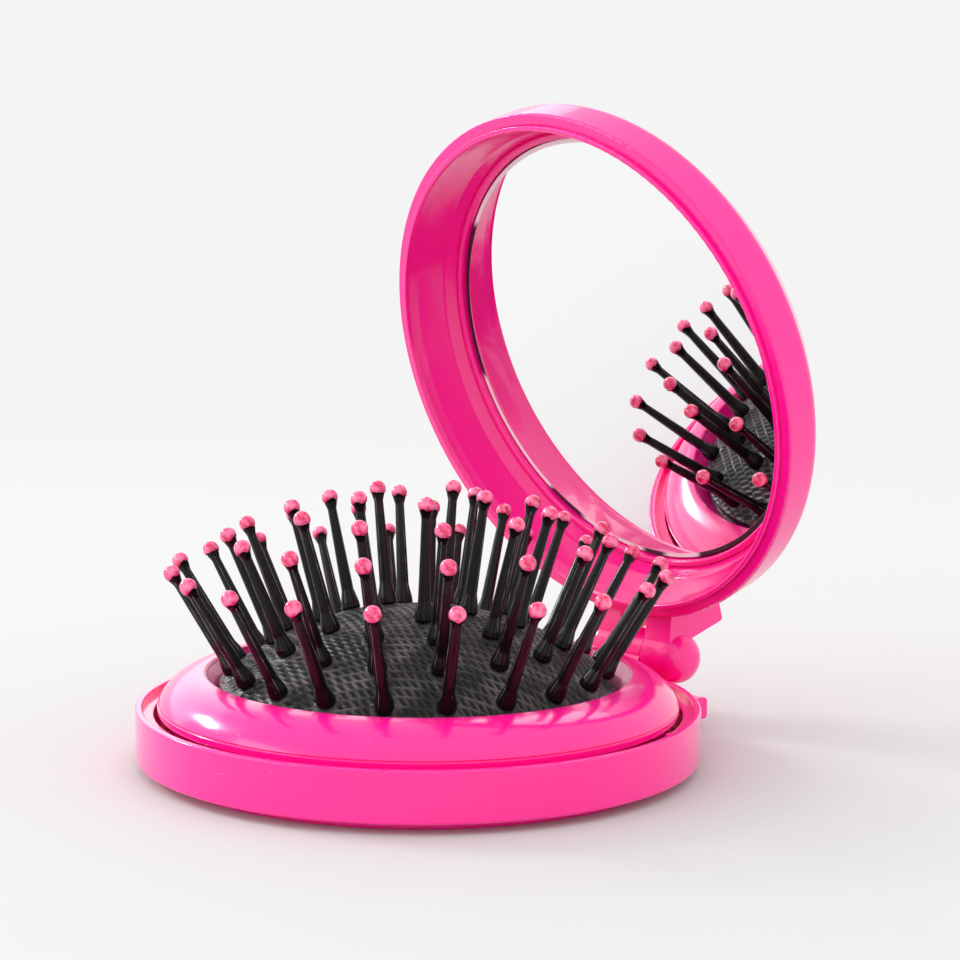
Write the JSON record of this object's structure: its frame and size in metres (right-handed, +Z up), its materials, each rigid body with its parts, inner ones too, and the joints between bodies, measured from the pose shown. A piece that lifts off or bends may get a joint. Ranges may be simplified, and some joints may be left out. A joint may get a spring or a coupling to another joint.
{
  "type": "folding compact hairbrush with mirror",
  "caption": "Round pocket hairbrush whose pins spread from a domed rubber cushion as its hinged lid, with a mirror inside, is opened.",
  "frame": {"origin": "centre of the push cup's flat underside, on the table", "axes": "+Z up out of the brush, +Y from the brush's middle to the lid's hinge, X along the hinge pin"},
  "size_m": [0.07, 0.0831, 0.0813],
  "materials": {
    "pink_abs": "gloss",
    "pin_nylon": "satin",
    "cushion_rubber": "matt",
    "mirror_glass": "polished",
    "adhesive_foam": "matt",
    "hinge_steel": "satin"
  },
  "bodies": {
    "brush": {"push_cup": "pink_abs", "bezel_ring": "pink_abs", "cushion_pad": "cushion_rubber"},
    "case": {"case_ring": "pink_abs"},
    "hinge_pin": {"hinge_pin": "hinge_steel"},
    "lid": {"lid_cover": "pink_abs", "lid_liner": "pink_abs", "mirror": "mirror_glass", "mirror_foam": "adhesive_foam"},
    "pin_a01": {"pin_a01": "pin_nylon"},
    "pin_a02": {"pin_a02": "pin_nylon"},
    "pin_a03": {"pin_a03": "pin_nylon"},
    "pin_a04": {"pin_a04": "pin_nylon"},
    "pin_a05": {"pin_a05": "pin_nylon"},
    "pin_a06": {"pin_a06": "pin_nylon"},
    "pin_a07": {"pin_a07": "pin_nylon"},
    "pin_a08": {"pin_a08": "pin_nylon"},
    "pin_a09": {"pin_a09": "pin_nylon"},
    "pin_a10": {"pin_a10": "pin_nylon"},
    "pin_a11": {"pin_a11": "pin_nylon"},
    "pin_a12": {"pin_a12": "pin_nylon"},
    "pin_a13": {"pin_a13": "pin_nylon"},
    "pin_a14": {"pin_a14": "pin_nylon"},
    "pin_a15": {"pin_a15": "pin_nylon"},
    "pin_a16": {"pin_a16": "pin_nylon"},
    "pin_a17": {"pin_a17": "pin_nylon"},
    "pin_a18": {"pin_a18": "pin_nylon"},
    "pin_a19": {"pin_a19": "pin_nylon"},
    "pin_a20": {"pin_a20": "pin_nylon"},
    "pin_b01": {"pin_b01": "pin_nylon"},
    "pin_b02": {"pin_b02": "pin_nylon"},
    "pin_b03": {"pin_b03": "pin_nylon"},
    "pin_b04": {"pin_b04": "pin_nylon"},
    "pin_b05": {"pin_b05": "pin_nylon"},
    "pin_b06": {"pin_b06": "pin_nylon"},
    "pin_b07": {"pin_b07": "pin_nylon"},
    "pin_b08": {"pin_b08": "pin_nylon"},
    "pin_b09": {"pin_b09": "pin_nylon"},
    "pin_b10": {"pin_b10": "pin_nylon"},
    "pin_b11": {"pin_b11": "pin_nylon"},
    "pin_b12": {"pin_b12": "pin_nylon"},
    "pin_b13": {"pin_b13": "pin_nylon"},
    "pin_b14": {"pin_b14": "pin_nylon"},
    "pin_b15": {"pin_b15": "pin_nylon"},
    "pin_c01": {"pin_c01": "pin_nylon"},
    "pin_c02": {"pin_c02": "pin_nylon"},
    "pin_c03": {"pin_c03": "pin_nylon"},
    "pin_c04": {"pin_c04": "pin_nylon"},
    "pin_c05": {"pin_c05": "pin_nylon"},
    "pin_c06": {"pin_c06": "pin_nylon"},
    "pin_c07": {"pin_c07": "pin_nylon"},
    "pin_c08": {"pin_c08": "pin_nylon"},
    "pin_c09": {"pin_c09": "pin_nylon"},
    "pin_c10": {"pin_c10": "pin_nylon"},
    "pin_d01": {"pin_d01": "pin_nylon"},
    "pin_d02": {"pin_d02": "pin_nylon"},
    "pin_d03": {"pin_d03": "pin_nylon"},
    "pin_d04": {"pin_d04": "pin_nylon"},
    "pin_d05": {"pin_d05": "pin_nylon"}
  },
  "joints": [
    {"name": "case_slide", "type": "slide", "parent": "brush", "child": "case", "axis": [0, 0, 1], "range_m": [0, 0.0047]},
    {"name": "lid_recline", "type": "hinge", "parent": "case", "child": "hinge_pin", "pos_m": [0, 0.0403, 0.0086], "axis": [-1, 0, 0], "range_deg": [0, 100.8]},
    {"name": "lid_fold", "type": "hinge", "parent": "hinge_pin", "child": "lid", "pos_m": [0, 0.0403, 0.0086], "axis": [-1, 0, 0], "range_deg": [-73.2, 0], "deforming": ["cushion_pad"]},
    {"name": "pin_a01_tilt", "type": "hinge", "parent": "brush", "child": "pin_a01", "pos_m": [0.02841, 0.00139, 0.00868], "axis": [0.0488, -0.9988, 0], "range_deg": [0, 57.29]},
    {"name": "pin_a02_tilt", "type": "hinge", "parent": "brush", "child": "pin_a02", "pos_m": [0.02659, 0.0101, 0.00868], "axis": [0.3551, -0.9348, 0], "range_deg": [0, 57.29]},
    {"name": "pin_a03_tilt", "type": "hinge", "parent": "brush", "child": "pin_a03", "pos_m": [0.02217, 0.01783, 0.00868], "axis": [0.6266, -0.7793, 0], "range_deg": [0, 57.29]},
    {"name": "pin_a04_tilt", "type": "hinge", "parent": "brush", "child": "pin_a04", "pos_m": [0.01558, 0.0238, 0.00868], "axis": [0.8368, -0.5476, 0], "range_deg": [0, 57.29]},
    {"name": "pin_a05_tilt", "type": "hinge", "parent": "brush", "child": "pin_a05", "pos_m": [0.00746, 0.02745, 0.00868], "axis": [0.965, -0.2622, 0], "range_deg": [0, 57.29]},
    {"name": "pin_a06_tilt", "type": "hinge", "parent": "brush", "child": "pin_a06", "pos_m": [-0.00139, 0.02841, 0.00868], "axis": [0.9988, 0.0488, 0], "range_deg": [0, 57.29]},
    {"name": "pin_a07_tilt", "type": "hinge", "parent": "brush", "child": "pin_a07", "pos_m": [-0.0101, 0.02659, 0.00868], "axis": [0.9348, 0.3551, 0], "range_deg": [0, 57.29]},
    {"name": "pin_a08_tilt", "type": "hinge", "parent": "brush", "child": "pin_a08", "pos_m": [-0.01783, 0.02217, 0.00868], "axis": [0.7793, 0.6266, 0], "range_deg": [0, 57.29]},
    {"name": "pin_a09_tilt", "type": "hinge", "parent": "brush", "child": "pin_a09", "pos_m": [-0.0238, 0.01558, 0.00868], "axis": [0.5476, 0.8368, 0], "range_deg": [0, 57.29]},
    {"name": "pin_a10_tilt", "type": "hinge", "parent": "brush", "child": "pin_a10", "pos_m": [-0.02745, 0.00746, 0.00868], "axis": [0.2622, 0.965, 0], "range_deg": [0, 57.29]},
    {"name": "pin_a11_tilt", "type": "hinge", "parent": "brush", "child": "pin_a11", "pos_m": [-0.02841, -0.00139, 0.00868], "axis": [-0.0488, 0.9988, 0], "range_deg": [0, 57.29]},
    {"name": "pin_a12_tilt", "type": "hinge", "parent": "brush", "child": "pin_a12", "pos_m": [-0.02659, -0.0101, 0.00868], "axis": [-0.3551, 0.9348, 0], "range_deg": [0, 57.29]},
    {"name": "pin_a13_tilt", "type": "hinge", "parent": "brush", "child": "pin_a13", "pos_m": [-0.02217, -0.01783, 0.00868], "axis": [-0.6266, 0.7793, 0], "range_deg": [0, 57.29]},
    {"name": "pin_a14_tilt", "type": "hinge", "parent": "brush", "child": "pin_a14", "pos_m": [-0.01558, -0.0238, 0.00868], "axis": [-0.8368, 0.5476, 0], "range_deg": [0, 57.29]},
    {"name": "pin_a15_tilt", "type": "hinge", "parent": "brush", "child": "pin_a15", "pos_m": [-0.00746, -0.02745, 0.00868], "axis": [-0.965, 0.2622, 0], "range_deg": [0, 57.29]},
    {"name": "pin_a16_tilt", "type": "hinge", "parent": "brush", "child": "pin_a16", "pos_m": [0.00139, -0.02841, 0.00868], "axis": [-0.9988, -0.0488, 0], "range_deg": [0, 57.29]},
    {"name": "pin_a17_tilt", "type": "hinge", "parent": "brush", "child": "pin_a17", "pos_m": [0.0101, -0.02659, 0.00868], "axis": [-0.9348, -0.3551, 0], "range_deg": [0, 57.29]},
    {"name": "pin_a18_tilt", "type": "hinge", "parent": "brush", "child": "pin_a18", "pos_m": [0.01783, -0.02217, 0.00868], "axis": [-0.7793, -0.6266, 0], "range_deg": [0, 57.29]},
    {"name": "pin_a19_tilt", "type": "hinge", "parent": "brush", "child": "pin_a19", "pos_m": [0.0238, -0.01558, 0.00868], "axis": [-0.5476, -0.8368, 0], "range_deg": [0, 57.29]},
    {"name": "pin_a20_tilt", "type": "hinge", "parent": "brush", "child": "pin_a20", "pos_m": [0.02745, -0.00746, 0.00868], "axis": [-0.2622, -0.965, 0], "range_deg": [0, 57.29]},
    {"name": "pin_b01_tilt", "type": "hinge", "parent": "brush", "child": "pin_b01", "pos_m": [0.02913, 0.0077, 0.01002], "axis": [0.2554, -0.9668, 0], "range_deg": [0, 43.69]},
    {"name": "pin_b02_tilt", "type": "hinge", "parent": "brush", "child": "pin_b02", "pos_m": [0.02348, 0.01888, 0.01002], "axis": [0.6266, -0.7793, 0], "range_deg": [0, 43.69]},
    {"name": "pin_b03_tilt", "type": "hinge", "parent": "brush", "child": "pin_b03", "pos_m": [0.01377, 0.0268, 0.01002], "axis": [0.8894, -0.4571, 0], "range_deg": [0, 43.69]},
    {"name": "pin_b04_tilt", "type": "hinge", "parent": "brush", "child": "pin_b04", "pos_m": [0.00168, 0.03009, 0.01002], "axis": [0.9984, -0.0558, 0], "range_deg": [0, 43.69]},
    {"name": "pin_b05_tilt", "type": "hinge", "parent": "brush", "child": "pin_b05", "pos_m": [-0.0107, 0.02817, 0.01002], "axis": [0.9348, 0.3551, 0], "range_deg": [0, 43.69]},
    {"name": "pin_b06_tilt", "type": "hinge", "parent": "brush", "child": "pin_b06", "pos_m": [-0.02123, 0.02138, 0.01002], "axis": [0.7096, 0.7046, 0], "range_deg": [0, 43.69]},
    {"name": "pin_b07_tilt", "type": "hinge", "parent": "brush", "child": "pin_b07", "pos_m": [-0.0281, 0.0109, 0.01002], "axis": [0.3616, 0.9323, 0], "range_deg": [0, 43.69]},
    {"name": "pin_b08_tilt", "type": "hinge", "parent": "brush", "child": "pin_b08", "pos_m": [-0.0301, -0.00147, 0.01002], "axis": [-0.0488, 0.9988, 0], "range_deg": [0, 43.69]},
    {"name": "pin_b09_tilt", "type": "hinge", "parent": "brush", "child": "pin_b09", "pos_m": [-0.0269, -0.01359, 0.01002], "axis": [-0.4509, 0.8926, 0], "range_deg": [0, 43.69]},
    {"name": "pin_b10_tilt", "type": "hinge", "parent": "brush", "child": "pin_b10", "pos_m": [-0.01905, -0.02335, 0.01002], "axis": [-0.7749, 0.632, 0], "range_deg": [0, 43.69]},
    {"name": "pin_b11_tilt", "type": "hinge", "parent": "brush", "child": "pin_b11", "pos_m": [-0.0079, -0.02908, 0.01002], "axis": [-0.965, 0.2622, 0], "range_deg": [0, 43.69]},
    {"name": "pin_b12_tilt", "type": "hinge", "parent": "brush", "child": "pin_b12", "pos_m": [0.00461, -0.02978, 0.01002], "axis": [-0.9882, -0.153, 0], "range_deg": [0, 43.69]},
    {"name": "pin_b13_tilt", "type": "hinge", "parent": "brush", "child": "pin_b13", "pos_m": [0.01632, -0.02533, 0.01002], "axis": [-0.8406, -0.5417, 0], "range_deg": [0, 43.69]},
    {"name": "pin_b14_tilt", "type": "hinge", "parent": "brush", "child": "pin_b14", "pos_m": [0.02522, -0.0165, 0.01002], "axis": [-0.5476, -0.8368, 0], "range_deg": [0, 43.69]},
    {"name": "pin_b15_tilt", "type": "hinge", "parent": "brush", "child": "pin_b15", "pos_m": [0.02975, -0.00482, 0.01002], "axis": [-0.1599, -0.9871, 0], "range_deg": [0, 43.69]},
    {"name": "pin_c01_tilt", "type": "hinge", "parent": "brush", "child": "pin_c01", "pos_m": [0.03646, 0.00287, 0.01099], "axis": [0.0785, -0.9969, 0], "range_deg": [0, 29.39]},
    {"name": "pin_c02_tilt", "type": "hinge", "parent": "brush", "child": "pin_c02", "pos_m": [0.02781, 0.02376, 0.01099], "axis": [0.6494, -0.7604, 0], "range_deg": [0, 29.39]},
    {"name": "pin_c03_tilt", "type": "hinge", "parent": "brush", "child": "pin_c03", "pos_m": [0.00854, 0.03557, 0.01099], "axis": [0.9724, -0.2334, 0], "range_deg": [0, 29.39]},
    {"name": "pin_c04_tilt", "type": "hinge", "parent": "brush", "child": "pin_c04", "pos_m": [-0.014, 0.03379, 0.01099], "axis": [0.9239, 0.3827, 0], "range_deg": [0, 29.39]},
    {"name": "pin_c05_tilt", "type": "hinge", "parent": "brush", "child": "pin_c05", "pos_m": [-0.03119, 0.01911, 0.01099], "axis": [0.5225, 0.8526, 0], "range_deg": [0, 29.39]},
    {"name": "pin_c06_tilt", "type": "hinge", "parent": "brush", "child": "pin_c06", "pos_m": [-0.03646, -0.00287, 0.01099], "axis": [-0.0785, 0.9969, 0], "range_deg": [0, 29.39]},
    {"name": "pin_c07_tilt", "type": "hinge", "parent": "brush", "child": "pin_c07", "pos_m": [-0.02781, -0.02376, 0.01099], "axis": [-0.6494, 0.7604, 0], "range_deg": [0, 29.39]},
    {"name": "pin_c08_tilt", "type": "hinge", "parent": "brush", "child": "pin_c08", "pos_m": [-0.00854, -0.03557, 0.01099], "axis": [-0.9724, 0.2334, 0], "range_deg": [0, 29.39]},
    {"name": "pin_c09_tilt", "type": "hinge", "parent": "brush", "child": "pin_c09", "pos_m": [0.014, -0.03379, 0.01099], "axis": [-0.9239, -0.3827, 0], "range_deg": [0, 29.39]},
    {"name": "pin_c10_tilt", "type": "hinge", "parent": "brush", "child": "pin_c10", "pos_m": [0.03119, -0.01911, 0.01099], "axis": [-0.5225, -0.8526, 0], "range_deg": [0, 29.39]},
    {"name": "pin_d01_tilt", "type": "hinge", "parent": "brush", "child": "pin_d01", "pos_m": [0.05165, 0.03739, 0.01157], "axis": [0.5864, -0.81, 0], "range_deg": [0, 14.47]},
    {"name": "pin_d02_tilt", "type": "hinge", "parent": "brush", "child": "pin_d02", "pos_m": [-0.0196, 0.06068, 0.01157], "axis": [0.9516, 0.3074, 0], "range_deg": [0, 14.47]},
    {"name": "pin_d03_tilt", "type": "hinge", "parent": "brush", "child": "pin_d03", "pos_m": [-0.06377, 0.00011, 0.01157], "axis": [0.0017, 1, 0], "range_deg": [0, 14.47]},
    {"name": "pin_d04_tilt", "type": "hinge", "parent": "brush", "child": "pin_d04", "pos_m": [-0.01981, -0.06061, 0.01157], "axis": [-0.9505, 0.3107, 0], "range_deg": [0, 14.47]},
    {"name": "pin_d05_tilt", "type": "hinge", "parent": "brush", "child": "pin_d05", "pos_m": [0.05152, -0.03757, 0.01157], "axis": [-0.5892, -0.808, 0], "range_deg": [0, 14.47]}
  ],
  "couplings": [
    {"joint": "case_slide", "follows": "lid_fold", "m_per_rad": -0.0036788},
    {"joint": "pin_a01_tilt", "follows": "lid_fold", "ratio": -0.7826},
    {"joint": "pin_a02_tilt", "follows": "lid_fold", "ratio": -0.7826},
    {"joint": "pin_a03_tilt", "follows": "lid_fold", "ratio": -0.7826},
    {"joint": "pin_a04_tilt", "follows": "lid_fold", "ratio": -0.7826},
    {"joint": "pin_a05_tilt", "follows": "lid_fold", "ratio": -0.7826},
    {"joint": "pin_a06_tilt", "follows": "lid_fold", "ratio": -0.7826},
    {"joint": "pin_a07_tilt", "follows": "lid_fold", "ratio": -0.7826},
    {"joint": "pin_a08_tilt", "follows": "lid_fold", "ratio": -0.7826},
    {"joint": "pin_a09_tilt", "follows": "lid_fold", "ratio": -0.7826},
    {"joint": "pin_a10_tilt", "follows": "lid_fold", "ratio": -0.7826},
    {"joint": "pin_a11_tilt", "follows": "lid_fold", "ratio": -0.7826},
    {"joint": "pin_a12_tilt", "follows": "lid_fold", "ratio": -0.7826},
    {"joint": "pin_a13_tilt", "follows": "lid_fold", "ratio": -0.7826},
    {"joint": "pin_a14_tilt", "follows": "lid_fold", "ratio": -0.7826},
    {"joint": "pin_a15_tilt", "follows": "lid_fold", "ratio": -0.7826},
    {"joint": "pin_a16_tilt", "follows": "lid_fold", "ratio": -0.7826},
    {"joint": "pin_a17_tilt", "follows": "lid_fold", "ratio": -0.7826},
    {"joint": "pin_a18_tilt", "follows": "lid_fold", "ratio": -0.7826},
    {"joint": "pin_a19_tilt", "follows": "lid_fold", "ratio": -0.7826},
    {"joint": "pin_a20_tilt", "follows": "lid_fold", "ratio": -0.7826},
    {"joint": "pin_b01_tilt", "follows": "lid_fold", "ratio": -0.59683},
    {"joint": "pin_b02_tilt", "follows": "lid_fold", "ratio": -0.59683},
    {"joint": "pin_b03_tilt", "follows": "lid_fold", "ratio": -0.59683},
    {"joint": "pin_b04_tilt", "follows": "lid_fold", "ratio": -0.59683},
    {"joint": "pin_b05_tilt", "follows": "lid_fold", "ratio": -0.59683},
    {"joint": "pin_b06_tilt", "follows": "lid_fold", "ratio": -0.59683},
    {"joint": "pin_b07_tilt", "follows": "lid_fold", "ratio": -0.59683},
    {"joint": "pin_b08_tilt", "follows": "lid_fold", "ratio": -0.59683},
    {"joint": "pin_b09_tilt", "follows": "lid_fold", "ratio": -0.59683},
    {"joint": "pin_b10_tilt", "follows": "lid_fold", "ratio": -0.59683},
    {"joint": "pin_b11_tilt", "follows": "lid_fold", "ratio": -0.59683},
    {"joint": "pin_b12_tilt", "follows": "lid_fold", "ratio": -0.59683},
    {"joint": "pin_b13_tilt", "follows": "lid_fold", "ratio": -0.59683},
    {"joint": "pin_b14_tilt", "follows": "lid_fold", "ratio": -0.59683},
    {"joint": "pin_b15_tilt", "follows": "lid_fold", "ratio": -0.59683},
    {"joint": "pin_c01_tilt", "follows": "lid_fold", "ratio": -0.40149},
    {"joint": "pin_c02_tilt", "follows": "lid_fold", "ratio": -0.40149},
    {"joint": "pin_c03_tilt", "follows": "lid_fold", "ratio": -0.40149},
    {"joint": "pin_c04_tilt", "follows": "lid_fold", "ratio": -0.40149},
    {"joint": "pin_c05_tilt", "follows": "lid_fold", "ratio": -0.40149},
    {"joint": "pin_c06_tilt", "follows": "lid_fold", "ratio": -0.40149},
    {"joint": "pin_c07_tilt", "follows": "lid_fold", "ratio": -0.40149},
    {"joint": "pin_c08_tilt", "follows": "lid_fold", "ratio": -0.40149},
    {"joint": "pin_c09_tilt", "follows": "lid_fold", "ratio": -0.40149},
    {"joint": "pin_c10_tilt", "follows": "lid_fold", "ratio": -0.40149},
    {"joint": "pin_d01_tilt", "follows": "lid_fold", "ratio": -0.1977},
    {"joint": "pin_d02_tilt", "follows": "lid_fold", "ratio": -0.1977},
    {"joint": "pin_d03_tilt", "follows": "lid_fold", "ratio": -0.1977},
    {"joint": "pin_d04_tilt", "follows": "lid_fold", "ratio": -0.1977},
    {"joint": "pin_d05_tilt", "follows": "lid_fold", "ratio": -0.1977}
  ]
}
